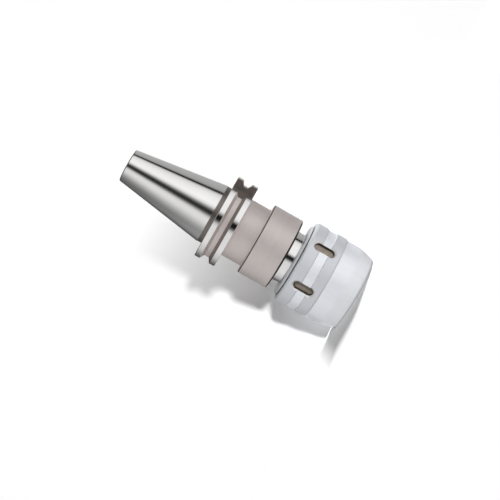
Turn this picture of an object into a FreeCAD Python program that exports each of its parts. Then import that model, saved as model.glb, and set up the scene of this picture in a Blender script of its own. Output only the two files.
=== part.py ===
import FreeCAD, Part
import math
import os
import Sketcher

# Power milling chuck: a steep-taper tool holder whose nut runs on skewed needle rollers and squeezes the
# chuck cylinder onto a straight collet. It stands on the front face of its nut, axis up along Z, with the
# origin in the middle of that face. Millimetres and degrees.

# Sizes that can be set by themselves
driving = {
    # shank
    "gauge_dia": 44.45,
    "taper_length": 68.25,
    "taper_rate": 0.2916667,
    "small_end_round": 0.8,
    "relief_dia": 43.8,
    "relief_length": 3.175,
    "stud_pilot_dia": 16.3,
    "stud_pilot_depth": 5.0,
    "stud_thread_dia": 13.6,
    "stud_thread_depth": 28.5,
    "coolant_dia": 12.0,
    # flange
    "flange_dia": 63.5,
    "flange_width": 15.875,
    "flange_edge": 0.5,
    "vee_depth": 3.55,
    "vee_floor_width": 3.5,
    "vee_to_back": 7.935,
    "vee_wall_angle": 30.0,
    "drive_slot_width": 16.1,
    "drive_slot_floor": 22.6,
    "drive_slot_count": 2,
    # body in front of the flange
    "shoulder_dia": 44.45,
    "shoulder_length": 16.15,
    "collar_dia": 53.9,
    "collar_length": 23.1,
    "collar_back_round": 0.9,
    "collar_front_round": 1.6,
    "neck_dia": 38.1,
    "chuck_bore_dia": 25.4,
    "chuck_bore_depth": 60.0,
    "bore_mouth": 0.6,
    # rollers and cage
    "nut_travel": 6.0,
    "closed_gap": 0.5,
    "race_slope": 0.01,
    "race_lead": 0.5,
    "roller_dia": 4.0,
    "roller_length": 8.0,
    "roller_count": 18,
    "roller_skew": 1.75,
    "roller_play": 0.02,
    "pocket_play": 0.15,
    "row_web": 1.1,
    "cage_rim": 1.0,
    "cage_wall": 2.9,
    "washer_thick": 1.0,
    "end_play": 0.2,
    # retaining rings
    "stop_ring_thick": 1.3,
    "stop_ring_dia": 41.2,
    "stop_groove_depth": 1.4,
    "snap_ring_thick": 1.0,
    "snap_ring_width": 2.6,
    "snap_groove_depth": 1.1,
    "snap_land": 0.3,
    "ring_side_play": 0.05,
    "ring_split": 24.0,
    # front seal
    "nose_short": 0.2,
    "nose_land": 1.1,
    "nose_seal_width": 2.4,
    "nose_seal_edge": 0.6,
    "nose_groove_depth": 1.2,
    "ring_land": 1.3,
    "seal_play": 0.05,
    # rear cover
    "cover_dia": 55.2,
    "cover_lip": 1.8,
    "cover_rim": 0.1,
    "cover_bevel": 1.35,
    "cover_spigot_dia": 50.0,
    "cover_spigot": 2.2,
    "cover_clear": 0.3,
    "cover_seal_thick": 0.4,
    "cover_seal_inset": 0.6,
    "wiper_thick": 1.4,
    "wiper_width": 2.3,
    "wiper_side_play": 0.1,
    "press_play": 0.02,
    # nut
    "band_dia": 62.4,
    "waist_dia": 60.8,
    "barrel_dia": 60.7,
    "nut_nose_dia": 54.8,
    "nut_bore_dia": 42.0,
    "nut_bore_mouth": 0.8,
    "nut_nose_round": 2.2,
    "nut_back_round": 2.5,
    "nose_cone": 10.9,
    "barrel_length": 11.6,
    "barrel_rise": 1.0,
    "front_band": 7.4,
    "waist_front_rise": 0.4,
    "waist_length": 6.3,
    "waist_back_rise": 0.7,
    "nut_slot_count": 6,
    "nut_slot_width": 6.1,
    "nut_slot_length": 15.2,
    "nut_slot_to_back": 12.35,
    "nut_slot_floor": 27.2,
    "nut_slot_turn": 5.4,
    # straight collet
    "collet_bore_dia": 19.05,
    "collet_flange_dia": 30.0,
    "collet_flange": 3.0,
    "collet_length": 57.0,
    "collet_play": 0.02,
    "collet_edge": 0.5,
    "slit_width": 1.0,
    "slit_land": 7.0,
    "slit_count": 4,
    # stop screw
    "screw_dia": 16.0,
    "screw_length": 22.0,
    "screw_setback": 14.0,
    "screw_edge": 1.0,
    "thread_play": 0.05,
    "thread_depth": 40.0,
    "tail_length": 26.0,
    "tail_clear": 0.4,
    "hex_flats": 8.0,
    "hex_depth": 8.0,
    "tail_hex_flats": 5.0,
    "screw_hole_dia": 4.0,
    "oring_section": 1.8,
    "oring_play": 0.05,
    "oring_to_end": 6.0,
}

# Sizes that follow from them: heights end in z, radii in rad
derived = {
    # stack along the axis, from the nut's front face up
    "nose_z": "nut_travel - nose_short",
    "nose_groove_z": "nose_z + nose_land",
    "nose_groove_top_z": "nose_groove_z + nose_seal_width",
    "stop_ring_z": "nose_groove_top_z + ring_land",
    "stop_groove_z": "stop_ring_z - ring_side_play",
    "stop_groove_top_z": "stop_ring_z + stop_ring_thick + ring_side_play",
    "front_washer_z": "stop_ring_z + stop_ring_thick + end_play",
    "cage_z": "front_washer_z + washer_thick + end_play",
    "pocket_length": "roller_length + 2 * pocket_play",
    "pocket_width": "roller_dia + 2 * pocket_play",
    "row_pitch": "pocket_length + row_web",
    "cage_length": "3 * pocket_length + 2 * row_web + 2 * cage_rim",
    "row_front_z": "cage_rim + pocket_length / 2",
    "row_middle_z": "row_front_z + row_pitch",
    "row_back_z": "row_middle_z + row_pitch",
    "row_stagger": "180 / roller_count",
    "back_washer_z": "cage_z + cage_length + end_play",
    "snap_ring_z": "back_washer_z + washer_thick + end_play",
    "snap_groove_z": "snap_ring_z - ring_side_play",
    "snap_groove_top_z": "snap_ring_z + snap_ring_thick + ring_side_play",
    "cover_z": "snap_ring_z + snap_ring_thick + snap_land",
    "nut_length": "cover_z + cover_spigot",
    "cover_face": "cover_spigot + cover_seal_thick",
    "cover_bevel_start": "cover_face + cover_rim",
    "cover_height": "cover_face + cover_lip",
    "wiper_groove": "(cover_height - wiper_thick) / 2 - wiper_side_play",
    "wiper_groove_top": "(cover_height + wiper_thick) / 2 + wiper_side_play",
    "wiper_z": "cover_z + (cover_height - wiper_thick) / 2",
    "race_start_z": "wiper_z - race_lead - wiper_side_play",
    "collar_front_z": "cover_z + cover_height + nut_travel + closed_gap",
    "collar_back_z": "collar_front_z + collar_length",
    "flange_front_z": "collar_back_z + shoulder_length",
    "flange_back_z": "flange_front_z + flange_width",
    "gauge_z": "flange_back_z + relief_length",
    "small_end_z": "gauge_z + taper_length",
    # outside of the body
    "gauge_rad": "gauge_dia / 2",
    "small_end_rad": "(gauge_dia - taper_rate * taper_length) / 2",
    "relief_rad": "relief_dia / 2",
    "flange_rad": "flange_dia / 2",
    "vee_floor_rad": "flange_rad - vee_depth",
    "vee_rise": "vee_depth * tan(vee_wall_angle)",
    "vee_floor_front_z": "flange_back_z - vee_to_back - vee_floor_width / 2",
    "vee_floor_back_z": "flange_back_z - vee_to_back + vee_floor_width / 2",
    "vee_front_z": "vee_floor_front_z - vee_rise",
    "vee_back_z": "vee_floor_back_z + vee_rise",
    "drive_slot_half": "drive_slot_width / 2",
    "drive_slot_reach": "flange_rad + flange_edge",
    "shoulder_rad": "shoulder_dia / 2",
    "collar_rad": "collar_dia / 2",
    "neck_rad": "neck_dia / 2",
    "nose_rad": "neck_rad - race_slope * (race_start_z - stop_groove_top_z)",
    "nose_groove_rad": "nose_rad - nose_groove_depth",
    "stop_groove_rad": "nose_rad - stop_groove_depth",
    # inside of the body
    "chuck_bore_rad": "chuck_bore_dia / 2",
    "bore_mouth_rad": "chuck_bore_rad + bore_mouth",
    "bore_mouth_z": "nose_z + bore_mouth",
    "bore_end_z": "nose_z + chuck_bore_depth",
    "thread_rad": "screw_dia / 2",
    "thread_end_z": "bore_end_z + thread_depth",
    "coolant_rad": "coolant_dia / 2",
    "stud_end_z": "small_end_z - stud_thread_depth",
    "stud_thread_rad": "stud_thread_dia / 2",
    "stud_pilot_z": "small_end_z - stud_pilot_depth",
    "stud_pilot_rad": "stud_pilot_dia / 2",
    # rollers, cage and washers; the play is what is left on each side of a roller while the nut is open
    "open_play": "roller_play + race_slope * nut_travel / 2",
    "roller_rad": "roller_dia / 2",
    "cage_mid_rad": "(nose_rad + neck_rad + roller_dia) / 2 + open_play",
    "cage_inner_rad": "cage_mid_rad - cage_wall / 2",
    "cage_outer_rad": "cage_mid_rad + cage_wall / 2",
    "pocket_half_width": "pocket_width / 2",
    "pocket_half_length": "pocket_length / 2",
    # inside of the nut
    "nut_shoulder_z": "front_washer_z - nut_travel / 2 - closed_gap",
    "race_room": "roller_dia + 2 * open_play",
    "nut_race_front_rad": "neck_rad - race_slope * (race_start_z - nut_shoulder_z) + race_room",
    "nut_race_back_rad": "neck_rad - race_slope * (race_start_z - cover_z) + race_room",
    "nut_bore_rad": "nut_bore_dia / 2",
    "nut_mouth_rad": "nut_bore_rad + nut_bore_mouth",
    "snap_groove_rad": "nut_race_back_rad + snap_groove_depth",
    "snap_ring_rad": "snap_groove_rad - ring_side_play",
    "snap_ring_inner_rad": "snap_ring_rad - snap_ring_width",
    "spigot_bore_rad": "cover_spigot_dia / 2",
    # outside of the nut
    "nut_nose_rad": "nut_nose_dia / 2",
    "barrel_rad": "barrel_dia / 2",
    "band_rad": "band_dia / 2",
    "waist_rad": "waist_dia / 2",
    "barrel_back_z": "nose_cone + barrel_length",
    "front_band_z": "barrel_back_z + barrel_rise",
    "waist_edge_z": "front_band_z + front_band",
    "waist_front_z": "waist_edge_z + waist_front_rise",
    "waist_back_z": "waist_front_z + waist_length",
    "back_band_z": "waist_back_z + waist_back_rise",
    "nut_slot_z": "nut_length - nut_slot_to_back",
    "nut_slot_rad": "nut_slot_width / 2",
    "nut_slot_straight": "nut_slot_length - nut_slot_width",
    # rear cover and seals
    "cover_rad": "cover_dia / 2",
    "cover_back_rad": "cover_rad - cover_bevel",
    "spigot_rad": "spigot_bore_rad - press_play",
    "cover_bore_rad": "neck_rad + cover_clear",
    "wiper_inner_rad": "neck_rad + seal_play",
    "wiper_rad": "wiper_inner_rad + wiper_width",
    "wiper_groove_rad": "wiper_rad + wiper_side_play",
    "cover_seal_rad": "cover_rad - cover_seal_inset",
    "nose_seal_z": "nose_groove_z + ring_side_play",
    "nose_seal_height": "nose_seal_width - 2 * ring_side_play",
    "nose_seal_seat_rad": "nose_groove_rad + press_play",
    "nose_seal_root_rad": "(nose_rad + nut_bore_rad) / 2",
    "nose_seal_lip_rad": "nut_bore_rad - seal_play",
    "stop_ring_rad": "stop_ring_dia / 2",
    "stop_ring_inner_rad": "stop_groove_rad + press_play",
    "ring_sweep": "360 - ring_split",
    # straight collet
    "collet_z": "nose_z - collet_flange",
    "collet_height": "collet_flange + collet_length",
    "collet_bore_rad": "collet_bore_dia / 2",
    "collet_rad": "chuck_bore_rad - collet_play",
    "collet_flange_rad": "collet_flange_dia / 2",
    "slit_half": "slit_width / 2",
    "front_slit_end": "collet_height - slit_land",
    "back_slit_start": "collet_flange + slit_land",
    "slit_stagger": "180 / slit_count",
    # stop screw
    "screw_z": "bore_end_z + screw_setback",
    "screw_rad": "thread_rad - thread_play",
    "tail_rad": "coolant_rad - tail_clear",
    "screw_hole_rad": "screw_hole_dia / 2",
    "screw_height": "screw_length + tail_length",
    "oring_outer_rad": "coolant_rad - oring_play",
    "oring_mid_rad": "oring_outer_rad - oring_section / 2",
    "oring_groove_rad": "oring_outer_rad - oring_section - oring_play",
    "oring_mid": "screw_height - oring_to_end",
    "oring_groove": "oring_mid - oring_section / 2 - oring_play",
    "oring_groove_top": "oring_mid + oring_section / 2 + oring_play",
    "oring_half": "oring_section / 2",
    "oring_z": "screw_z + oring_mid",
    "hex_half": "hex_flats / 2",
    "hex_corner": "hex_half / cos(30)",
    "hex_side": "hex_corner / 2",
    "tail_hex_half": "tail_hex_flats / 2",
    "tail_hex_corner": "tail_hex_half / cos(30)",
    "tail_hex_side": "tail_hex_corner / 2",
}

doc = FreeCAD.newDocument("ColletChuckHolder")
sheet = doc.addObject("Spreadsheet::Sheet", "Sizes")
row = 0
for names, lead in ((driving, ""), (derived, "=")):
    for name, content in names.items():
        row += 1
        sheet.set(f"A{row}", name)
        sheet.set(f"B{row}", f"{lead}{content}")
        sheet.setAlias(f"B{row}", name)
doc.recompute()


def size(name):
    # a value of the sheet, zero for a corner on an axis
    return 0.0 if name is None else float(sheet.get(name))


def bind(item, field, name):
    item.setExpression(field, f"Sizes.{name}")


def origin_plane(body, role):
    return next(item for item in body.Origin.OriginFeatures if item.Role == role)


def new_body(label, height=None):
    body = doc.addObject("PartDesign::Body", label)
    body.Label = label
    if height:
        bind(body, "Placement.Base.z", height)
    return body


def new_sketch(body, name, role):
    sketch = body.newObject("Sketcher::SketchObject", name)
    sketch.AttachmentSupport = [(origin_plane(body, role), "")]
    sketch.MapMode = "FlatFace"
    return sketch


def pin_corner(sketch, line, direction, name):
    # holds the start of a line at a named distance from the sketch's origin, or on its axis
    if name is None:
        axis = -2 if direction == "X" else -1
        sketch.addConstraint(Sketcher.Constraint("PointOnObject", line, 1, axis))
        return
    plain = name.lstrip("-")
    ends = (line, 1, -1, 1) if name.startswith("-") else (-1, 1, line, 1)
    number = sketch.addConstraint(Sketcher.Constraint(f"Distance{direction}", *ends, size(plain)))
    label = f"corner{line}{direction}"
    sketch.renameConstraint(number, label)
    bind(sketch, f"Constraints.{label}", plain)


def signed(name):
    return -size(name[1:]) if name and name.startswith("-") else size(name)


def outline(body, name, corners, role="XZ_Plane"):
    # closed outline of straight lines between corners that are given as pairs of names
    sketch = new_sketch(body, name, role)
    points = [FreeCAD.Vector(signed(across), signed(up), 0) for across, up in corners]
    for start, end in zip(points, points[1:] + points[:1]):
        sketch.addGeometry(Part.LineSegment(start, end))
    for line in range(len(points)):
        following = (line + 1) % len(points)
        sketch.addConstraint(Sketcher.Constraint("Coincident", line, 2, following, 1))
    for line, (across, up) in enumerate(corners):
        pin_corner(sketch, line, "X", across)
        pin_corner(sketch, line, "Y", up)
    return sketch


def turned(body, name, corners, sweep=None):
    # solid of revolution about the body's axis
    sketch = outline(body, f"{name}_outline", corners)
    feature = body.newObject("PartDesign::Revolution", name)
    feature.Profile = sketch
    feature.ReferenceAxis = (sketch, ["V_Axis"])
    feature.Angle = 360
    if sweep:
        bind(feature, "Angle", sweep)
    doc.recompute()
    return feature


def bored(body, name, corners):
    # turned hollow about the body's axis
    before = body.Shape.Volume
    sketch = outline(body, f"{name}_outline", corners)
    feature = body.newObject("PartDesign::Groove", name)
    feature.Profile = sketch
    feature.ReferenceAxis = (sketch, ["V_Axis"])
    feature.Angle = 360
    doc.recompute()
    must_shrink(body, before)
    return feature


def must_shrink(body, before):
    if not body.Shape.Volume < before:
        raise ValueError(f"{body.Label}: a cut removes nothing")


def cut(body, name, sketch, depth=None, reverse=False):
    # pocket from the sketch's plane, to a named depth or all the way out
    before = body.Shape.Volume
    feature = body.newObject("PartDesign::Pocket", name)
    feature.Profile = sketch
    feature.Reversed = reverse
    if depth:
        feature.Type = "Length"
        bind(feature, "Length", depth)
    else:
        feature.Type = "ThroughAll"
    doc.recompute()
    must_shrink(body, before)
    return feature


def around(body, name, features, count):
    # copies of cuts, evenly spaced about the body's axis
    axis = next(item for item in body.Origin.OriginFeatures if item.Role == "Z_Axis")
    pattern = body.newObject("PartDesign::PolarPattern", name)
    pattern.Originals = features
    pattern.Axis = (axis, [""])
    pattern.Angle = 360
    bind(pattern, "Occurrences", count)
    body.Tip = pattern
    doc.recompute()
    return pattern


def ease(body, name, kind, amount, circles):
    # rounds or bevels the circular edges that lie at the given radii and heights
    base = body.Tip
    edges = []
    for number, edge in enumerate(base.Shape.Edges, 1):
        curve = edge.Curve
        if curve.TypeId != "Part::GeomCircle":
            continue
        for radius, height in circles:
            offset = abs(curve.Radius - size(radius)) + abs(curve.Center.z - size(height))
            if offset + math.hypot(curve.Center.x, curve.Center.y) < 1e-4:
                edges.append(f"Edge{number}")
    if len(edges) < len(circles):
        raise ValueError(f"{body.Label}: {name} finds too few edges")
    feature = body.newObject(f"PartDesign::{kind}", name)
    feature.Base = (base, edges)
    bind(feature, "Radius" if kind == "Fillet" else "Size", amount)
    doc.recompute()
    return feature


def obround(body, name, radius, straight):
    # slot outline, long side up, centred on the sketch's origin
    sketch = new_sketch(body, name, "XZ_Plane")
    end, half = size(radius), size(straight) / 2
    normal = FreeCAD.Vector(0, 0, 1)
    for middle, start in ((half, 0), (-half, math.pi)):
        circle = Part.Circle(FreeCAD.Vector(0, middle, 0), normal, end)
        sketch.addGeometry(Part.ArcOfCircle(circle, start, start + math.pi))
    left = Part.LineSegment(FreeCAD.Vector(-end, half, 0), FreeCAD.Vector(-end, -half, 0))
    right = Part.LineSegment(FreeCAD.Vector(end, -half, 0), FreeCAD.Vector(end, half, 0))
    sketch.addGeometry([left, right])
    for joint in ((0, 2, 2, 1), (2, 2, 1, 1), (1, 2, 3, 1), (3, 2, 0, 1)):
        sketch.addConstraint(Sketcher.Constraint("Tangent", *joint))
    sketch.addConstraint(Sketcher.Constraint("Symmetric", 0, 3, 1, 3, -1, 1))
    sketch.addConstraint(Sketcher.Constraint("PointOnObject", 0, 3, -2))
    number = sketch.addConstraint(Sketcher.Constraint("Radius", 0, end))
    sketch.renameConstraint(number, "end")
    bind(sketch, "Constraints.end", radius)
    number = sketch.addConstraint(Sketcher.Constraint("DistanceY", 1, 3, 0, 3, 2 * half))
    sketch.renameConstraint(number, "straight")
    bind(sketch, "Constraints.straight", straight)
    return sketch


def rectangle(body, name, half_across, low, high, role="XZ_Plane"):
    left = f"-{half_across}"
    corners = [(left, low), (half_across, low), (half_across, high), (left, high)]
    return outline(body, name, corners, role)


def hexagon(body, name, half, corner, side, role="XY_Plane"):
    corners = [(None, f"-{corner}"), (half, f"-{side}"), (half, side),
               (None, corner), (f"-{half}", side), (f"-{half}", f"-{side}")]
    return outline(body, name, corners, role)


def holder_body():
    body = new_body("holder_body")
    turned(body, "body_blank", [
        (None, "nose_z"),
        ("nose_rad", "nose_z"),
        ("nose_rad", "nose_groove_z"),
        ("nose_groove_rad", "nose_groove_z"),
        ("nose_groove_rad", "nose_groove_top_z"),
        ("nose_rad", "nose_groove_top_z"),
        ("nose_rad", "stop_groove_z"),
        ("stop_groove_rad", "stop_groove_z"),
        ("stop_groove_rad", "stop_groove_top_z"),
        ("nose_rad", "stop_groove_top_z"),
        ("neck_rad", "race_start_z"),
        ("neck_rad", "collar_front_z"),
        ("collar_rad", "collar_front_z"),
        ("collar_rad", "collar_back_z"),
        ("shoulder_rad", "collar_back_z"),
        ("shoulder_rad", "flange_front_z"),
        ("flange_rad", "flange_front_z"),
        ("flange_rad", "vee_front_z"),
        ("vee_floor_rad", "vee_floor_front_z"),
        ("vee_floor_rad", "vee_floor_back_z"),
        ("flange_rad", "vee_back_z"),
        ("flange_rad", "flange_back_z"),
        ("relief_rad", "flange_back_z"),
        ("relief_rad", "gauge_z"),
        ("gauge_rad", "gauge_z"),
        ("small_end_rad", "small_end_z"),
        (None, "small_end_z"),
    ])
    bored(body, "body_bore", [
        (None, "nose_z"),
        ("bore_mouth_rad", "nose_z"),
        ("chuck_bore_rad", "bore_mouth_z"),
        ("chuck_bore_rad", "bore_end_z"),
        ("thread_rad", "bore_end_z"),
        ("thread_rad", "thread_end_z"),
        ("coolant_rad", "thread_end_z"),
        ("coolant_rad", "stud_end_z"),
        ("stud_thread_rad", "stud_end_z"),
        ("stud_thread_rad", "stud_pilot_z"),
        ("stud_pilot_rad", "stud_pilot_z"),
        ("stud_pilot_rad", "small_end_z"),
        (None, "small_end_z"),
    ])
    ease(body, "small_end_corner", "Fillet", "small_end_round", [("small_end_rad", "small_end_z")])
    ease(body, "collar_back_corner", "Fillet", "collar_back_round", [("collar_rad", "collar_back_z")])
    ease(body, "collar_front_corner", "Fillet", "collar_front_round", [("collar_rad", "collar_front_z")])
    ease(body, "flange_corners", "Chamfer", "flange_edge", [
        ("flange_rad", "flange_front_z"), ("flange_rad", "vee_front_z"),
        ("flange_rad", "vee_back_z"), ("flange_rad", "flange_back_z")])
    slot = outline(body, "drive_slot_outline", [
        ("drive_slot_floor", "-drive_slot_half"), ("drive_slot_reach", "-drive_slot_half"),
        ("drive_slot_reach", "drive_slot_half"), ("drive_slot_floor", "drive_slot_half")], "XY_Plane")
    bind(slot, "AttachmentOffset.Base.z", "flange_front_z")
    drive_slot = cut(body, "drive_slot", slot, "flange_width", reverse=True)
    around(body, "drive_slots", [drive_slot], "drive_slot_count")
    return body


def lock_nut():
    body = new_body("lock_nut")
    turned(body, "nut_blank", [
        ("nut_mouth_rad", None),
        ("nut_nose_rad", None),
        ("barrel_rad", "nose_cone"),
        ("barrel_rad", "barrel_back_z"),
        ("band_rad", "front_band_z"),
        ("band_rad", "waist_edge_z"),
        ("waist_rad", "waist_front_z"),
        ("waist_rad", "waist_back_z"),
        ("band_rad", "back_band_z"),
        ("band_rad", "nut_length"),
        ("spigot_bore_rad", "nut_length"),
        ("spigot_bore_rad", "cover_z"),
        ("nut_race_back_rad", "cover_z"),
        ("nut_race_front_rad", "nut_shoulder_z"),
        ("nut_bore_rad", "nut_shoulder_z"),
        ("nut_bore_rad", "nut_bore_mouth"),
    ])
    bored(body, "snap_groove", [
        ("cage_mid_rad", "snap_groove_z"), ("snap_groove_rad", "snap_groove_z"),
        ("snap_groove_rad", "snap_groove_top_z"), ("cage_mid_rad", "snap_groove_top_z")])
    ease(body, "nut_back_corner", "Fillet", "nut_back_round", [("band_rad", "nut_length")])
    ease(body, "nut_nose_corner", "Fillet", "nut_nose_round", [("nut_nose_rad", None)])
    slot = obround(body, "spanner_slot_outline", "nut_slot_rad", "nut_slot_straight")
    slot.AttachmentOffset = FreeCAD.Placement(
        FreeCAD.Vector(0, 0, 0), FreeCAD.Rotation(FreeCAD.Vector(0, 1, 0), 0))
    bind(slot, "AttachmentOffset.Base.y", "nut_slot_z")
    slot.setExpression("AttachmentOffset.Base.z", "-Sizes.nut_slot_floor * cos(Sizes.nut_slot_turn)")
    slot.setExpression("AttachmentOffset.Base.x", "-Sizes.nut_slot_floor * sin(Sizes.nut_slot_turn)")
    bind(slot, "AttachmentOffset.Rotation.Angle", "nut_slot_turn")
    spanner_slot = cut(body, "spanner_slot", slot)
    around(body, "spanner_slots", [spanner_slot], "nut_slot_count")
    return body


def rear_cover():
    body = new_body("rear_cover", "cover_z")
    turned(body, "cover_ring", [
        ("cover_bore_rad", None),
        ("spigot_rad", None),
        ("spigot_rad", "cover_face"),
        ("cover_rad", "cover_face"),
        ("cover_rad", "cover_bevel_start"),
        ("cover_back_rad", "cover_height"),
        ("cover_bore_rad", "cover_height"),
        ("cover_bore_rad", "wiper_groove_top"),
        ("wiper_groove_rad", "wiper_groove_top"),
        ("wiper_groove_rad", "wiper_groove"),
        ("cover_bore_rad", "wiper_groove"),
    ])
    return body


def plain_ring(label, height, inner, outer, thick, sweep=None):
    # flat ring of rectangular section, split where a sweep is given
    body = new_body(label, height)
    turned(body, f"{label}_blank", [(inner, None), (outer, None), (outer, thick), (inner, thick)], sweep)
    return body


def nose_seal():
    body = new_body("nose_seal", "nose_seal_z")
    turned(body, "nose_seal_lip", [
        ("nose_seal_seat_rad", None),
        ("nose_seal_lip_rad", None),
        ("nose_seal_lip_rad", "nose_seal_edge"),
        ("nose_seal_root_rad", "nose_seal_height"),
        ("nose_seal_seat_rad", "nose_seal_height"),
    ])
    return body


def roller_cage():
    body = new_body("roller_cage", "cage_z")
    turned(body, "cage_sleeve", [
        ("cage_inner_rad", None), ("cage_outer_rad", None),
        ("cage_outer_rad", "cage_length"), ("cage_inner_rad", "cage_length")])
    upright, across = FreeCAD.Vector(0, 1, 0), FreeCAD.Vector(0, 0, 1)
    skew = FreeCAD.Rotation(across, -size("roller_skew"))
    pockets = []
    for name, middle, stagger in rows:
        sketch = rectangle(body, f"pocket_{name}_outline", "pocket_half_width",
                           "-pocket_half_length", "pocket_half_length")
        turn = FreeCAD.Rotation(upright, stagger * size("row_stagger"))
        sketch.AttachmentOffset = FreeCAD.Placement(FreeCAD.Vector(0, size(middle), 0), turn * skew)
        bind(sketch, "AttachmentOffset.Base.y", middle)
        pockets.append(cut(body, f"pocket_{name}", sketch))
    around(body, "pockets", pockets, "roller_count")
    return body


def roller_row(name, middle, stagger):
    # one row of rollers, square to the pockets of the cage and in line with the sloping races
    height = size("cage_z") + size(middle)
    race = size("neck_rad") - size("race_slope") * (size("race_start_z") - height)
    distance = race + size("open_play") + size("roller_rad")
    skew = math.radians(size("roller_skew"))
    slope = math.atan(size("race_slope"))
    count = round(size("roller_count"))
    rollers = []
    for number in range(count):
        angle = math.radians(90 + stagger * size("row_stagger") + 360 * number / count)
        outward = FreeCAD.Vector(math.cos(angle), math.sin(angle), 0)
        sideways = FreeCAD.Vector(-math.sin(angle), math.cos(angle), 0)
        upright = FreeCAD.Vector(0, 0, math.cos(slope)) + outward * math.sin(slope)
        axis = upright * math.cos(skew) - sideways * math.sin(skew)
        middle_point = outward * distance + FreeCAD.Vector(0, 0, height)
        roller = doc.addObject("Part::Cylinder", f"roller_{name}_{number + 1}")
        bind(roller, "Radius", "roller_rad")
        bind(roller, "Height", "roller_length")
        turn = FreeCAD.Rotation(FreeCAD.Vector(0, 0, 1), axis)
        roller.Placement = FreeCAD.Placement(middle_point - axis * (size("roller_length") / 2), turn)
        rollers.append(roller)
    group = doc.addObject("Part::Compound", f"rollers_{name}")
    group.Label = f"rollers_{name}"
    group.Links = rollers
    return group


def straight_collet():
    body = new_body("straight_collet", "collet_z")
    turned(body, "collet_sleeve", [
        ("collet_bore_rad", None),
        ("collet_flange_rad", None),
        ("collet_flange_rad", "collet_flange"),
        ("collet_rad", "collet_flange"),
        ("collet_rad", "collet_height"),
        ("collet_bore_rad", "collet_height"),
    ])
    ease(body, "collet_edges", "Chamfer", "collet_edge", [
        ("collet_flange_rad", None), ("collet_bore_rad", None), ("collet_rad", "collet_height")])
    front = rectangle(body, "front_slit_outline", "slit_half", None, "front_slit_end")
    front_slit = cut(body, "front_slit", front)
    back = rectangle(body, "back_slit_outline", "slit_half", "back_slit_start", "collet_height")
    turn = FreeCAD.Rotation(FreeCAD.Vector(0, 1, 0), size("slit_stagger"))
    back.AttachmentOffset = FreeCAD.Placement(FreeCAD.Vector(0, 0, 0), turn)
    bind(back, "AttachmentOffset.Rotation.Angle", "slit_stagger")
    back_slit = cut(body, "back_slit", back)
    around(body, "slits", [front_slit, back_slit], "slit_count")
    return body


def stop_screw():
    body = new_body("stop_screw", "screw_z")
    turned(body, "screw_blank", [
        ("screw_hole_rad", None),
        ("screw_rad", None),
        ("screw_rad", "screw_length"),
        ("tail_rad", "screw_length"),
        ("tail_rad", "oring_groove"),
        ("oring_groove_rad", "oring_groove"),
        ("oring_groove_rad", "oring_groove_top"),
        ("tail_rad", "oring_groove_top"),
        ("tail_rad", "screw_height"),
        ("screw_hole_rad", "screw_height"),
    ])
    ease(body, "screw_ends", "Chamfer", "screw_edge", [("screw_rad", None), ("screw_rad", "screw_length")])
    socket = hexagon(body, "hex_outline", "hex_half", "hex_corner", "hex_side")
    cut(body, "hex_socket", socket, "hex_depth", reverse=True)
    tail = hexagon(body, "tail_hex_outline", "tail_hex_half", "tail_hex_corner", "tail_hex_side")
    bind(tail, "AttachmentOffset.Base.z", "screw_height")
    cut(body, "tail_hex_socket", tail, "tail_hex_flats")
    return body


def screw_oring():
    ring = doc.addObject("Part::Torus", "screw_oring")
    ring.Label = "screw_oring"
    bind(ring, "Radius1", "oring_mid_rad")
    bind(ring, "Radius2", "oring_half")
    bind(ring, "Placement.Base.z", "oring_z")
    return ring


# Rows of rollers: name, height of the middle above the cage's front end, share of the stagger
rows = (("front", "row_front_z", 0), ("middle", "row_middle_z", 1), ("back", "row_back_z", 0))

pieces = [
    holder_body(),
    lock_nut(),
    rear_cover(),
    plain_ring("cover_seal", "nut_length", "spigot_rad", "cover_seal_rad", "cover_seal_thick"),
    plain_ring("wiper_seal", "wiper_z", "wiper_inner_rad", "wiper_rad", "wiper_thick"),
    plain_ring("nut_snap_ring", "snap_ring_z", "snap_ring_inner_rad", "snap_ring_rad",
               "snap_ring_thick", "ring_sweep"),
    plain_ring("back_washer", "back_washer_z", "cage_inner_rad", "cage_outer_rad", "washer_thick"),
    roller_cage(),
    plain_ring("front_washer", "front_washer_z", "cage_inner_rad", "cage_outer_rad", "washer_thick"),
    plain_ring("stop_ring", "stop_ring_z", "stop_ring_inner_rad", "stop_ring_rad",
               "stop_ring_thick", "ring_sweep"),
    nose_seal(),
    straight_collet(),
    stop_screw(),
    screw_oring(),
]
pieces += [roller_row(*entry) for entry in rows]
doc.recompute()

for item in doc.Objects:
    if {"Invalid", "Error"} & set(item.State):
        raise ValueError(f"{item.Label}: {item.State}")
for piece in pieces:
    if piece.Shape.isNull() or not piece.Shape.isValid():
        raise ValueError(f"{piece.Label}: bad shape")

os.makedirs("parts", exist_ok=True)
for piece in pieces:
    piece.Shape.exportStep(f"parts/{piece.Label}.step")
    print(f"{piece.Label}: {len(piece.Shape.Solids)} solid, {piece.Shape.Volume:.1f} mm3")
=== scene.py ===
import math
import bmesh
import bpy
from mathutils import Matrix, Vector


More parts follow.
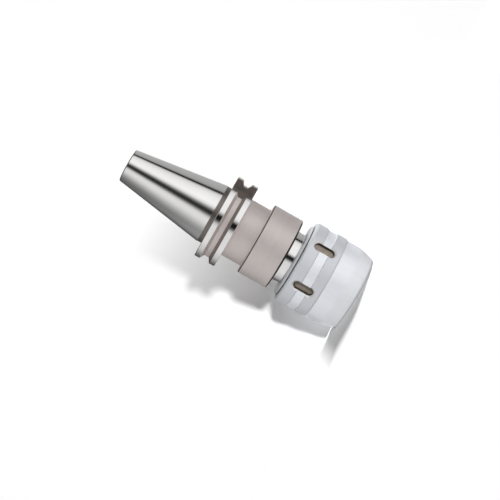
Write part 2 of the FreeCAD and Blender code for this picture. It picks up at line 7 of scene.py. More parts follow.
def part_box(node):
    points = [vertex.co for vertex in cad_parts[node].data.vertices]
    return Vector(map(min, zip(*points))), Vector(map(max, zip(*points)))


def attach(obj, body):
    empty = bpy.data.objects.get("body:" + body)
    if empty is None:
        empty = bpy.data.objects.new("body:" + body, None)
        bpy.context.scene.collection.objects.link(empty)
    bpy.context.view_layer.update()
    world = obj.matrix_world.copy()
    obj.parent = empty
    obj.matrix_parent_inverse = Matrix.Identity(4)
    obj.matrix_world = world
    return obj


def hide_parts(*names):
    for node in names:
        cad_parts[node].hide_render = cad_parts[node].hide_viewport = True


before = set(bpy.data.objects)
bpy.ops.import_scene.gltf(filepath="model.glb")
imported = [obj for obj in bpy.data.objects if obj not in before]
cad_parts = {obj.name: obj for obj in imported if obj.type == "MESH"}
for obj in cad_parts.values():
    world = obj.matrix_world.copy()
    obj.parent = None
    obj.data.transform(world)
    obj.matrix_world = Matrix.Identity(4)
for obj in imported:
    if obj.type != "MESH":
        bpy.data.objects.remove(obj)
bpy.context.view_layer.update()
mm = 0.001
crispAngle = math.radians(32)  # faces that meet at more than this keep a crisp edge
edgeAngle = math.radians(35)   # edges sharper than this are eased
print("frame loaded")

# Where the photograph was taken from: turns are about the spindle axis, the roll is about the line of sight
shot = {
    "azimuth": math.radians(-57.2),
    "distance": 0.936,
    "height": 0.1096,
    "aimHeight": 0.0788,
    "aimDown": 0.00927,
    "roll": math.radians(29.7),
    "lens": 95.9,
}
toCamera = Vector((math.cos(shot["azimuth"]), math.sin(shot["azimuth"]), 0))
sideways = Vector((-toCamera.y, toCamera.x, 0))  # the side of the holder that faces the top of the picture
upright = Vector((0, 0, 1))


def makeCamera():
    data = bpy.data.cameras.new("camera")
    data.lens = shot["lens"]
    data.sensor_width = 36
    camera = bpy.data.objects.new("camera", data)
    bpy.context.scene.collection.objects.link(camera)
    place = toCamera * shot["distance"] + upright * shot["height"]
    target = upright * shot["aimHeight"] - sideways * shot["aimDown"]
    back = (place - target).normalized()
    right = sideways * math.sin(shot["roll"]) - upright * math.cos(shot["roll"])
    right = (right - back * right.dot(back)).normalized()
    camera.matrix_world = Matrix((right, back.cross(right), back)).transposed().to_4x4()
    camera.location = place
    bpy.context.scene.camera = camera


makeCamera()
print("camera set")

# Shared effects

def newGroup(name, inputs, outputs):
    group = bpy.data.node_groups.new(name, "ShaderNodeTree")
    for label, value in inputs:
        socket = group.interface.new_socket(label, in_out="INPUT", socket_type="NodeSocketFloat")
        socket.default_value = value
    for label in outputs:
        group.interface.new_socket(label, in_out="OUTPUT", socket_type="NodeSocketFloat")
    return group, group.nodes.new("NodeGroupInput"), group.nodes.new("NodeGroupOutput")


def mathNode(tree, operation, first, second=None):
    # each operand is a socket or a number
    node = tree.nodes.new("ShaderNodeMath")
    node.operation = operation
    for slot, value in enumerate((first, second)):
        if isinstance(value, (int, float)):
            node.inputs[slot].default_value = value
        elif value is not None:
            tree.links.new(value, node.inputs[slot])
    return node.outputs[0]


def makeTurningLines():
    # fine rings left by turning and grinding: they follow the height on a wall and the radius on a face
    group, given, result = newGroup("turningLines", [("Spacing", 0.2)], ["Height", "Streak"])
    coordinates = group.nodes.new("ShaderNodeTexCoord")
    parts = group.nodes.new("ShaderNodeSeparateXYZ")
    group.links.new(coordinates.outputs["Object"], parts.inputs[0])
    xSquared = mathNode(group, "MULTIPLY", parts.outputs[0], parts.outputs[0])
    ySquared = mathNode(group, "MULTIPLY", parts.outputs[1], parts.outputs[1])
    radius = mathNode(group, "SQRT", mathNode(group, "ADD", xSquared, ySquared))
    along = mathNode(group, "ADD", radius, parts.outputs[2])
    steps = mathNode(group, "DIVIDE", mathNode(group, "MULTIPLY", along, 1000), given.outputs["Spacing"])
    for output, scale, detail in (("Height", 1.0, 3.0), ("Streak", 0.09, 2.0)):
        noise = group.nodes.new("ShaderNodeTexNoise")
        noise.noise_dimensions = "1D"
        noise.inputs["Scale"].default_value = scale
        noise.inputs["Detail"].default_value = detail
        group.links.new(steps, noise.inputs["W"])
        group.links.new(noise.outputs["Fac"], result.inputs[output])
    return group


def makeMottle():
    # faint uneven patches from handling and heat treatment, or streaks along the axis where Rise is small
    inputs = [("Scale", 60.0), ("Rise", 1.0), ("Low", 0.35), ("High", 0.7)]
    group, given, result = newGroup("mottle", inputs, ["Mask"])
    coordinates = group.nodes.new("ShaderNodeTexCoord")
    parts = group.nodes.new("ShaderNodeSeparateXYZ")
    place = group.nodes.new("ShaderNodeCombineXYZ")
    group.links.new(coordinates.outputs["Object"], parts.inputs[0])
    group.links.new(parts.outputs[0], place.inputs[0])
    group.links.new(parts.outputs[1], place.inputs[1])
    group.links.new(mathNode(group, "MULTIPLY", parts.outputs[2], given.outputs["Rise"]), place.inputs[2])
    noise = group.nodes.new("ShaderNodeTexNoise")
    noise.inputs["Detail"].default_value = 5
    noise.inputs["Roughness"].default_value = 0.6
    spread = group.nodes.new("ShaderNodeMapRange")
    group.links.new(place.outputs[0], noise.inputs["Vector"])
    group.links.new(given.outputs["Scale"], noise.inputs["Scale"])
    group.links.new(noise.outputs["Fac"], spread.inputs["Value"])
    group.links.new(given.outputs["Low"], spread.inputs["From Min"])
    group.links.new(given.outputs["High"], spread.inputs["From Max"])
    group.links.new(spread.outputs["Result"], result.inputs["Mask"])
    return group


turningLines = makeTurningLines()
mottle = makeMottle()

# Finishes: colours are linear, spacing and lineDepth in millimetres, patch is how many patches fit in a metre
finishes = {
    "groundSteel": {"colour": (0.925, 0.915, 0.91), "metallic": 1.0, "rough": 0.07, "spacing": 0.12,
                    "lineDepth": 0.004, "shade": 0.04, "patch": 45, "roughSpread": 0.05},
    "polishedRim": {"colour": (0.92, 0.91, 0.905), "metallic": 1.0, "rough": 0.06, "spacing": 0.12,
                    "lineDepth": 0.003, "shade": 0.04, "patch": 60, "roughSpread": 0.04},
    "matteSteel": {"colour": (0.88, 0.81, 0.785), "metallic": 0.9, "rough": 0.6, "spacing": 0.25,
                   "lineDepth": 0.015, "shade": 0.06, "patch": 90, "roughSpread": 0.08},
    # the relief's own unground steel, darkened further as painted shade in the recess behind the flange
    "reliefSteelAndShade": {"colour": (0.30, 0.265, 0.245), "metallic": 1.0, "rough": 0.34, "spacing": 0.2,
                    "lineDepth": 0.02, "shade": 0.12, "patch": 140, "roughSpread": 0.1},
    # painted shade: a near-black finish laid on edge roundings and beside gaps, painting the dark lines of
    # shade and dark reflection there
    "paintedShadeSteel": {"colour": (0.085, 0.068, 0.06), "metallic": 0.9, "rough": 0.38, "spacing": 0.25,
                  "lineDepth": 0.02, "shade": 0.15, "patch": 200, "roughSpread": 0.1},
    # painted shade: a darker copy of the dull steel for the V-groove's wall that faces up the axis
    "veeWallPaintedShade": {"colour": (0.42, 0.375, 0.35), "metallic": 1.0, "rough": 0.36, "spacing": 0.2,
                 "lineDepth": 0.02, "shade": 0.12, "patch": 140, "roughSpread": 0.1},
    "milledSteel": {"colour": (0.26, 0.225, 0.205), "metallic": 0.6, "rough": 0.5, "spacing": 0.35,
                    "lineDepth": 0.03, "shade": 0.2, "patch": 300, "roughSpread": 0.1},
    "boreSteel": {"colour": (0.45, 0.43, 0.42), "metallic": 1.0, "rough": 0.3, "spacing": 0.3,
                  "lineDepth": 0.03, "shade": 0.1, "patch": 120, "roughSpread": 0.1},
    "nutBand": {"colour": (0.66, 0.675, 0.71), "metallic": 0.25, "rough": 0.45, "spacing": 0.22,
                "lineDepth": 0.01, "shade": 0.035, "patch": 420, "rise": 0.18, "roughSpread": 0.1},
    "nutBarrel": {"colour": (0.86, 0.88, 0.925), "metallic": 0.25, "rough": 0.38, "spacing": 0.2,
                  "lineDepth": 0.01, "shade": 0.035, "patch": 380, "rise": 0.15, "roughSpread": 0.12},
    # painted light: the nose cone is a brighter copy of the barrel's finish, brightened to make up for the
    # light it gets
    "nutConePaintedLight": {"colour": (0.90, 0.915, 0.945), "metallic": 0.3, "rough": 0.36, "spacing": 0.2,
                "lineDepth": 0.01, "shade": 0.035, "patch": 380, "rise": 0.15, "roughSpread": 0.12},
    # the slots' chamfers: smoother, more metallic steel, made brighter as a painted highlight round each slot
    "nutEdgeAndHighlight": {"colour": (0.88, 0.87, 0.85), "metallic": 0.6, "rough": 0.3, "spacing": 0.2,
                "lineDepth": 0.01, "shade": 0.08, "patch": 200, "roughSpread": 0.1},
    "coverSteel": {"colour": (0.78, 0.79, 0.82), "metallic": 0.5, "rough": 0.32, "spacing": 0.2,
                   "lineDepth": 0.015, "shade": 0.06, "patch": 120, "roughSpread": 0.08},
    # painted shade: the slots' walls are a near-black copy of the slot floor's steel, dark as shade from the
    # key light
    "slotWallPaintedShade": {"colour": (0.085, 0.07, 0.055), "metallic": 0.5, "rough": 0.42, "spacing": 0.3,
                 "lineDepth": 0.03, "shade": 0.2, "patch": 300, "roughSpread": 0.1},
    "slotFloor": {"colour": (0.46, 0.40, 0.335), "metallic": 0.4, "rough": 0.45, "spacing": 0.3,
                  "lineDepth": 0.03, "shade": 0.2, "patch": 300, "roughSpread": 0.1},
    "colletSteel": {"colour": (0.66, 0.65, 0.63), "metallic": 1.0, "rough": 0.22, "spacing": 0.15,
                    "lineDepth": 0.015, "shade": 0.06, "patch": 90, "roughSpread": 0.08},
    "bearingSteel": {"colour": (0.75, 0.75, 0.76), "metallic": 1.0, "rough": 0.08, "spacing": 0.1,
                     "lineDepth": 0.006, "shade": 0.04, "patch": 120, "roughSpread": 0.05},
    "cageBrass": {"colour": (0.60, 0.45, 0.20), "metallic": 1.0, "rough": 0.3, "spacing": 0.2,
                  "lineDepth": 0.02, "shade": 0.08, "patch": 110, "roughSpread": 0.1},
    "blackOxide": {"colour": (0.045, 0.045, 0.05), "metallic": 0.7, "rough": 0.36, "spacing": 0.25,
                   "lineDepth": 0.02, "shade": 0.2, "patch": 160, "roughSpread": 0.1},
    "sealRubber": {"colour": (0.018, 0.018, 0.019), "metallic": 0.0, "rough": 0.6, "spacing": 0.3,
                   "lineDepth": 0.02, "shade": 0.3, "patch": 200, "roughSpread": 0.12},
}


def makeFinish(name, finish):
    material = bpy.data.materials.new(name)
    material.use_nodes = True
    tree = material.node_tree
    shader = tree.nodes["Principled BSDF"]
    shader.inputs["Metallic"].default_value = finish["metallic"]
    lines = tree.nodes.new("ShaderNodeGroup")
    lines.node_tree = turningLines
    lines.inputs["Spacing"].default_value = finish["spacing"]
    patches = tree.nodes.new("ShaderNodeGroup")
    patches.node_tree = mottle
    patches.inputs["Scale"].default_value = finish["patch"]
    patches.inputs["Rise"].default_value = finish.get("rise", 1.0)
    patchShare = 0.6
    both = mathNode(tree, "MULTIPLY", patches.outputs["Mask"], patchShare)
    both = mathNode(tree, "ADD", both, mathNode(tree, "MULTIPLY", lines.outputs["Streak"], 1 - patchShare))
    tint = tree.nodes.new("ShaderNodeMix")
    tint.data_type = "RGBA"
    dark = tuple(value * (1 - 2 * finish["shade"]) for value in finish["colour"])
    tint.inputs["A"].default_value = (*dark, 1)
    tint.inputs["B"].default_value = (*finish["colour"], 1)
    tree.links.new(both, tint.inputs["Factor"])
    tree.links.new(tint.outputs["Result"], shader.inputs["Base Color"])
    spread = mathNode(tree, "MULTIPLY", both, finish["roughSpread"])
    tree.links.new(mathNode(tree, "ADD", spread, finish["rough"]), shader.inputs["Roughness"])
    bump = tree.nodes.new("ShaderNodeBump")
    bump.inputs["Strength"].default_value = 1
    bump.inputs["Distance"].default_value = finish["lineDepth"] * mm
    tree.links.new(lines.outputs["Height"], bump.inputs["Height"])
    tree.links.new(bump.outputs["Normal"], shader.inputs["Normal"])
    return material


materials = {name: makeFinish(name, finish) for name, finish in finishes.items()}
print("finishes made")

# Turned pieces

def newPiece(name, bm, finishNames):
    mesh = bpy.data.meshes.new(name)
    bm.to_mesh(mesh)
    bm.free()
    piece = bpy.data.objects.new(name, mesh)
    bpy.context.scene.collection.objects.link(piece)
    for finishName in finishNames:
        mesh.materials.append(materials[finishName])
    return piece


def turned(corners, steps):
    # closed ring: each corner is radius, height and rounding in millimetres, outlined, eased and spun
    bm = bmesh.new()
    ring = [bm.verts.new((radius * mm, 0, height * mm)) for radius, height, _ in corners]
    bm.faces.new(ring)
    for easing in sorted({corner[2] for corner in corners if corner[2]}):
        chosen = [vert for vert, corner in zip(ring, corners) if corner[2] == easing]
        bmesh.ops.bevel(bm, geom=chosen, offset=easing * mm, offset_type="OFFSET", segments=6,
                        profile=0.5, affect="VERTICES", material=-1)
    bmesh.ops.delete(bm, geom=bm.faces[:], context="FACES_ONLY")
    bmesh.ops.spin(bm, geom=bm.verts[:] + bm.edges[:], cent=(0, 0, 0), axis=(0, 0, 1), dvec=(0, 0, 0),
                   angle=2 * math.pi, steps=steps, use_merge=True)
    bmesh.ops.remove_doubles(bm, verts=bm.verts[:], dist=1e-7)
    bmesh.ops.recalc_face_normals(bm, faces=bm.faces[:])
    return bm


def baked(piece):
    # the piece's mesh with its modifiers worked in
    view = bpy.context.evaluated_depsgraph_get()
    mesh = bpy.data.meshes.new_from_object(piece.evaluated_get(view), depsgraph=view)
    piece.modifiers.clear()
    old = piece.data
    piece.data = mesh
    bpy.data.meshes.remove(old)


def carve(piece, cutters):
    # takes the cutters' shapes out of a piece
    tool = newPiece("cutter", cutters, [])
    cut = piece.modifiers.new("cut", "BOOLEAN")
    cut.operation = "DIFFERENCE"
    cut.solver = "EXACT"
    cut.object = tool
    baked(piece)
    bpy.data.objects.remove(tool)


def easeEdges(piece, width, segments=2):
    bevel = piece.modifiers.new("edges", "BEVEL")
    bevel.width = width * mm
    bevel.segments = segments
    bevel.limit_method = "ANGLE"
    bevel.angle_limit = edgeAngle
    bevel.use_clamp_overlap = True
    baked(piece)


def finishSurface(piece, chooser=None):
    # smooth shading with crisp edges, and a finish for each face
    mesh = piece.data
    mesh.shade_smooth()
    mesh.set_sharp_from_angle(angle=crispAngle)
    if chooser:
        for face in mesh.polygons:
            middle, normal = face.center, face.normal
            radius = math.hypot(middle.x, middle.y)
            outward = (normal.x * middle.x + normal.y * middle.y) / radius  # 1 on an outer wall, -1 in a bore
            face.material_index = mesh.materials.find(chooser(radius / mm, middle.z / mm, outward, normal.z))
    weighted = piece.modifiers.new("normals", "WEIGHTED_NORMAL")
    weighted.keep_sharp = True


def standIn(piece, node, body):
    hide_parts(node)
    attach(piece, body)


nut = {
    "bore": 21.0, "mouth": 0.8, "noseRadius": 27.4, "noseRound": 2.2, "cone": 10.9, "barrel": 30.35,
    "barrelBack": 22.5, "bandFront": 23.5, "band": 31.2, "waistEdge": 30.9, "waist": 30.4,
    "waistFront": 31.3, "waistBack": 37.6, "bandBack": 38.3, "backRound": 2.5, "seat": 25.0,
    "seatDepth": 2.2, "race": 23.1, "shoulder": 8.6, "slotWidth": 6.1, "slotLength": 15.2,
    "slotToBack": 12.35, "slotFloor": 27.2, "slotTurn": 95.4, "slotCount": 6, "slotEase": 0.35,
    "slotPast": 2,         # how far the slots' cutters, and their chamfers' cutters, reach past the bands
    "chamferPast": 0.6,
    "chamferEnds": 1.6,    # how far past a slot's ends its chamfer can reach
    "ease": 0.18, "near": 0.25, "steps": 288,
}
nut["back"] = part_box("lock_nut")[1].z / mm


def slotCutters(inner, outer, spread):
    # one obround block for each slot, from an inner to an outer radius, widened by spread at its outer end
    n = nut
    cutters = bmesh.new()
    for number in range(n["slotCount"]):
        made = bmesh.ops.create_cube(cutters, size=1)["verts"]
        size = Vector((outer - inner, n["slotWidth"], n["slotLength"])) * mm
        bmesh.ops.scale(cutters, vec=size, verts=made)
        radial = [edge for edge in {e for v in made for e in v.link_edges}
                  if abs((edge.verts[0].co - edge.verts[1].co).x) > 1e-5]
        halfRound = n["slotWidth"] / 2 * mm * 0.999  # a little short, so that the two roundings don't meet
        rounded = bmesh.ops.bevel(cutters, geom=radial, offset=halfRound, offset_type="OFFSET", segments=14,
                                  profile=0.5, affect="EDGES", material=-1)
        block = list(set(rounded["verts"]) | {vert for vert in made if vert.is_valid})
        wider = Vector((1, 1 + 2 * spread / n["slotWidth"], 1 + 2 * spread / n["slotLength"]))
        bmesh.ops.scale(cutters, vec=wider, verts=[vert for vert in block if vert.co.x > 0])
        place = Matrix.Rotation(math.radians(n["slotTurn"] + number * 360 / n["slotCount"]), 4, "Z")
        place @= Matrix.Translation(Vector(((inner + outer) / 2, 0, n["back"] - n["slotToBack"])) * mm)
        bmesh.ops.transform(cutters, matrix=place, verts=block)
    return cutters


def makeNut():
    n = nut
    bm = turned([
        (n["bore"] + n["mouth"], 0, 0.15),
        (n["noseRadius"], 0, n["noseRound"]),
        (n["barrel"], n["cone"], 1.2),
        (n["barrel"], n["barrelBack"], 0.15),
        (n["band"], n["bandFront"], 0.2),
        (n["band"], n["waistEdge"], 0.12),
        (n["waist"], n["waistFront"], 0.1),
        (n["waist"], n["waistBack"], 0.1),
        (n["band"], n["bandBack"], 0.2),
        (n["band"], n["back"], n["backRound"]),
        (n["seat"], n["back"], 0.1),
        (n["seat"], n["back"] - n["seatDepth"], 0),
        (n["race"], n["back"] - n["seatDepth"], 0),
        (n["race"], n["shoulder"], 0),
        (n["bore"], n["shoulder"], 0),
        (n["bore"], n["mouth"], 0),
    ], n["steps"])
    piece = newPiece("lock_nut_turned", bm, ["nutBand", "nutBarrel", "nutConePaintedLight", "nutEdgeAndHighlight", "slotWallPaintedShade",
                                             "slotFloor", "boreSteel"])
    carve(piece, slotCutters(n["slotFloor"], n["band"] + n["slotPast"], 0))
    chamferFoot = n["waist"] - n["slotEase"]
    chamferTop = n["band"] + n["chamferPast"]
    carve(piece, slotCutters(chamferFoot, chamferTop, chamferTop - chamferFoot))
    easeEdges(piece, n["ease"])

    def choose(radius, height, outward, rise):
        past = abs(height - n["back"] + n["slotToBack"]) - n["slotLength"] / 2  # above 0 beyond the ends
        inSlot = past < n["near"]
        if outward < -0.5 or radius < n["race"] + n["near"]:
            return "boreSteel"
        if inSlot and radius < n["slotFloor"] + n["near"]:
            return "slotFloor"
        # the slot's walls get the painted shade
        if inSlot and (outward < 0.25 or radius < n["waist"] - 1):
            return "slotWallPaintedShade"
        # the chamfers round the slots get the brighter finish with its painted highlight
        slants = 0.3 < outward < 0.93
        if slants and (inSlot and abs(rise) < 0.3 or -n["slotWidth"] / 2 < past < n["chamferEnds"]):
            return "nutEdgeAndHighlight"
        if radius > n["waist"] + n["near"] or height > n["bandBack"]:
            return "nutBand"
        # the nose cone takes the brighter copy, which is painted light
        return "nutConePaintedLight" if height < n["cone"] - n["near"] else "nutBarrel"

    finishSurface(piece, choose)
    standIn(piece, "lock_nut", "nut")
    return piece


makeNut()
print("nut made")

cover = {
    "bore": 19.35, "spigot": 24.98, "face": 2.6, "radius": 27.6, "bevel": 1.35, "rim": 0.2, "lip": 1.8,
    "shade": 2.4,    # width of the ring by the neck that is painted dark as shade
    "ease": 0.08,
}
cover["foot"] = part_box("rear_cover")[0].z / mm


def makeCover():
    c = cover
    low = c["foot"]
    face = low + c["face"]
    back = face + c["lip"]
    bm = turned([
        (c["bore"], low, 0),
        (c["spigot"], low, 0),
        (c["spigot"], face, 0),
        (c["radius"], face, c["ease"]),
        (c["radius"], face + c["rim"], c["ease"]),
        (c["radius"] - c["bevel"], back, 0.35),
        (c["bore"], back, 0.3),
    ], nut["steps"])
    piece = newPiece("rear_cover_turned", bm, ["coverSteel", "paintedShadeSteel", "boreSteel"])

    def choose(radius, height, outward, rise):
        if outward < -0.5:
            return "boreSteel"
        # painted shade: the rim beside the seal and the ring by the neck get the near-black finish
        onRim = height < face + c["rim"] + 2 * c["ease"] and outward > 0.3
        atNeck = rise > 0.5 and radius < c["bore"] + c["shade"]
        return "paintedShadeSteel" if onRim or atNeck else "coverSteel"

    finishSurface(piece, choose)
    standIn(piece, "rear_cover", "nut")


makeCover()
print("rear cover made")

# Heights of the holder are from the floor, as in the frame
holder = {
    "nose": 5.8, "noseRadius": 18.71, "sealGroove": (6.9, 9.3, 17.51), "ringGroove": (10.55, 11.95, 17.31),
    "raceStart": 46.0, "neck": 19.05, "collarFront": 56.0, "collarBack": 79.1, "collar": 26.95,
    "collarFrontRound": 1.6, "collarBackRound": 0.9, "neckShadeBand": 0.6, "shoulder": 22.225,
    "flangeFront": 95.25, "flangeBack": 111.125, "flange": 31.75, "veeFloor": 28.2, "veeFront": 99.392,
    "veeFloorFront": 101.44, "veeFloorBack": 104.94, "veeBack": 106.99, "relief": 21.9, "gauge": 114.3,
    "gaugeRadius": 22.225, "smallRadius": 12.272, "smallRound": 0.8, "flangeEase": 0.5, "bore": 12.7,
    "boreEnd": 65.8, "threadHole": 8.0, "threadEnd": 105.8, "coolant": 6.0, "studDepth": 28.5,
    "studCore": 6.8, "studRoot": 7.95, "studPitch": 2.309, "pilot": 8.15, "pilotDepth": 5.0,
    "slotWidth": 16.1, "slotFloor": 22.6, "slotPast": 3, "slotOver": 2, "mouth": 0.6, "ease": 0.3, "near": 0.2,
    "steps": 320,
}
holder["top"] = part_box("holder_body")[1].z / mm


def makeHolder():
    h = holder
    sealLow, sealHigh, sealRoot = h["sealGroove"]
    ringLow, ringHigh, ringRoot = h["ringGroove"]
    studEnd = h["top"] - h["studDepth"]
    bm = turned([
        (h["bore"] + h["mouth"], h["nose"], 0.1),
        (h["noseRadius"], h["nose"], 0.5),
        (h["noseRadius"], sealLow, 0),
        (sealRoot, sealLow, 0),
        (sealRoot, sealHigh, 0),
        (h["noseRadius"], sealHigh, 0),
        (h["noseRadius"], ringLow, 0),
        (ringRoot, ringLow, 0),
        (ringRoot, ringHigh, 0),
        (h["noseRadius"], ringHigh, 0),
        (h["neck"], h["raceStart"], 0),
        # the neck is split here only so that its band below the collar can be painted dark as shade; there is
        # no groove
        (h["neck"], h["collarFront"] - h["neckShadeBand"], 0),
        (h["neck"], h["collarFront"], 0.35),
        (h["collar"], h["collarFront"], h["collarFrontRound"]),
        (h["collar"], h["collarBack"], h["collarBackRound"]),
        (h["shoulder"], h["collarBack"], 0.4),
        (h["shoulder"], h["flangeFront"], 0.4),
        (h["flange"], h["flangeFront"], h["flangeEase"]),
        (h["flange"], h["veeFront"], 0.3),
        (h["veeFloor"], h["veeFloorFront"], 0.2),
        (h["veeFloor"], h["veeFloorBack"], 0.2),
        (h["flange"], h["veeBack"], 0.3),
        (h["flange"], h["flangeBack"], h["flangeEase"]),
        (h["relief"], h["flangeBack"], 0.3),
        (h["relief"], h["gauge"], 0),
        (h["gaugeRadius"], h["gauge"], 0.12),
        (h["smallRadius"], h["top"], h["smallRound"]),
        (h["pilot"] + 0.5, h["top"], 0.15),
        (h["pilot"], h["top"] - 0.5, 0.15),
        (h["pilot"], h["top"] - h["pilotDepth"], 0),
        (h["studRoot"], h["top"] - h["pilotDepth"] - 0.3, 0),
        (h["studRoot"], studEnd, 0),
        (h["coolant"], studEnd - 2, 0),
        (h["coolant"], h["threadEnd"], 0),
        (h["threadHole"], h["threadEnd"], 0),
        (h["threadHole"], h["boreEnd"], 0),
        (h["bore"], h["boreEnd"], 0),
        (h["bore"], h["nose"] + h["mouth"], 0),
    ], h["steps"])
    piece = newPiece("holder_body_ground", bm, ["groundSteel", "polishedRim", "matteSteel", "reliefSteelAndShade",
                                                "veeWallPaintedShade", "paintedShadeSteel", "milledSteel", "boreSteel"])
    cutters = bmesh.new()
    low, high = h["flangeFront"], h["flangeBack"]
    reach = h["flange"] + h["slotPast"]
    for side in (1, -1):
        made = bmesh.ops.create_cube(cutters, size=1)["verts"]
        size = Vector((reach - h["slotFloor"], h["slotWidth"], high - low + h["slotOver"])) * mm
        bmesh.ops.scale(cutters, vec=size, verts=made)
        middle = Vector((side * (reach + h["slotFloor"]) / 2, 0, (low + high) / 2)) * mm
        bmesh.ops.translate(cutters, vec=middle, verts=made)
    carve(piece, cutters)
    easeEdges(piece, h["ease"])

    def choose(radius, height, outward, rise):
        near = h["near"]
        inBore = height < h["threadEnd"] and radius < h["bore"] + near
        if outward < -0.5 or inBore or radius < h["pilot"] + 0.7:
            return "boreSteel"
        inFlange = h["flangeFront"] + 0.02 < height < h["flangeBack"] - 0.02
        if inFlange and abs(rise) < 0.3:
            if outward < 0.9 or radius < h["veeFloor"] - near:
                return "milledSteel"
            return "matteSteel" if radius < h["veeFloor"] + near else "polishedRim"
        # the V-groove's wall facing up the axis is painted dark as shade, the other keeps the dull steel
        if h["veeFront"] - near < height < h["veeBack"] + near:
            return "veeWallPaintedShade" if rise > 0 else "matteSteel"
        # the small end's rounding is painted dark as shade
        if height > h["top"] - h["smallRound"] and 0.35 < rise < 0.95:
            return "paintedShadeSteel"
        # the relief behind the flange: its own steel with painted shade
        if h["flangeBack"] + near / 2 < height < h["gauge"] and radius < h["relief"] + h["ease"]:
            return "reliefSteelAndShade"
        # the collar's end roundings are painted dark as shade
        for end, rounding, turns in (("collarFront", "collarFrontRound", rise < -0.25),
                                     ("collarBack", "collarBackRound", rise > 0.35)):
            atEdge = radius > h["collar"] - h[rounding] - h["ease"]
            if turns and atEdge and abs(height - h[end]) < h[rounding]:
                return "paintedShadeSteel"
        # that band of the neck below the collar is painted dark as shade
        atCollar = h["collarFront"] - h["neckShadeBand"] < height < h["collarFront"] + near
        if atCollar and radius < h["neck"] + 2 * near:
            return "paintedShadeSteel"
        pastNeck = h["collarFront"] + 0.01 < height < h["flangeFront"] + near / 2
        return "matteSteel" if pastNeck and radius < h["flange"] - 3 * near else "groundSteel"

    finishSurface(piece, choose)
    standIn(piece, "holder_body", "holder")


makeHolder()
print("holder made")


studThread = {
    "perTurn": 72,
    "start": 1.0,     # from the bottom of the hole
    "short": 3.0,     # how much less than the hole's threaded length the ridge takes up
    "crest": 0.15,    # half the width of the ridge's crest
    "foot": 0.95,     # share of the pitch that the ridge's foot covers
    "sunk": 0.1,      # how deep its foot lies in the wall
    "spare": 0.05,    # from its crest to the mount's radius
}


def makeStudThread():
    # the retention knob's thread in the small end: one ridge wound up the hole
    h, t = holder, studThread
    turns = (h["studDepth"] - h["pilotDepth"] - t["short"]) / h["studPitch"]
    steps = round(turns * t["perTurn"])
    bm = bmesh.new()
    start = h["top"] - h["studDepth"] + t["start"]
    halfFoot = h["studPitch"] / 2 * t["foot"]
    foot = h["studRoot"] + t["sunk"]
    crest = h["studCore"] + t["spare"]
    outline = [(foot, start - halfFoot), (crest, start - t["crest"]),
               (crest, start + t["crest"]), (foot, start + halfFoot)]
    ring = [bm.verts.new((radius * mm, 0, height * mm)) for radius, height in outline]
    first = bm.faces.new(ring)
    climb = h["studPitch"] * mm / t["perTurn"]
    bmesh.ops.spin(bm, geom=[first], cent=(0, 0, 0), axis=(0, 0, 1), dvec=(0, 0, climb),
                   angle=2 * math.pi * steps / t["perTurn"], steps=steps)
    bmesh.ops.recalc_face_normals(bm, faces=bm.faces[:])
    piece = newPiece("stud_thread", bm, ["boreSteel"])
    finishSurface(piece)
    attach(piece, "holder")


makeStudThread()
print("stud thread made")

carried = {
    "cover_seal": "sealRubber", "wiper_seal": "sealRubber", "nose_seal": "sealRubber",
    "screw_oring": "sealRubber", "nut_snap_ring": "blackOxide", "stop_ring": "blackOxide",
    "stop_screw": "blackOxide", "back_washer": "bearingSteel", "front_washer": "bearingSteel",
    "rollers_front": "bearingSteel", "rollers_middle": "bearingSteel", "rollers_back": "bearingSteel",
    "roller_cage": "cageBrass", "straight_collet": "colletSteel",
}
for node, finishName in carried.items():
    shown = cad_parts[node]
    for place in shown.material_slots:
        place.link = "OBJECT"
        place.material = materials[finishName]
print("carried pieces finished")

# Floor, backdrop and light. The studio is given by the turn from the camera towards the picture's top
studio = {
    "low": (
        (-180, 0.45), (-172, 0.12), (-156, 0.08), (-140, 0.17), (-128, 0.30), (-106, 0.60), (-74, 0.80),
        (-24, 0.76), (-17, 0.55), (-11, 0.14), (-6, 0.01), (4, 0.01), (10, 0.45), (15, 0.86),
        (22, 0.95), (50, 0.95), (74, 0.82), (81, 0.50), (85, 0.02), (93, 0.02), (97, 0.30), (106, 0.39),
        (145, 0.45), (156, 0.45), (166, 0.85),
    ),
    "high": (
        (-180, 0.45), (-172, 0.07), (-156, 0.06), (-144, 0.08), (-128, 0.11), (-106, 0.17), (-89, 0.25),
        (-74, 0.38), (-60, 0.57), (-47, 0.75), (-33, 0.82), (-22, 0.70), (-12, 0.19), (-6, 0.03),
        (4, 0.03), (12, 0.25), (22, 0.82), (33, 1.02), (58, 0.92), (74, 0.76), (81, 0.50), (85, 0.02),
        (93, 0.02), (97, 0.30), (106, 0.40), (145, 0.50), (156, 0.50), (166, 0.85),
    ),
    "ceiling": 0.35,
    "riseRange": (0.08, 0.22),     # how far up low turns into high, and high into the ceiling
    "ceilingRange": (0.45, 0.75),
    "fillFront": 0.03,             # light on dull surfaces from the camera's side, from behind and from above
    "fillBack": 0.8,
    "fillAbove": 0.03,
    "fillTurn": (0.85, 0.53),      # the way to the front: shares of the camera's and the picture top's
    "fillRange": (-0.1, 0.5),      # how far round the fill from the front turns into the one from behind
    "fillAboveRange": (0.2, 0.4),
}
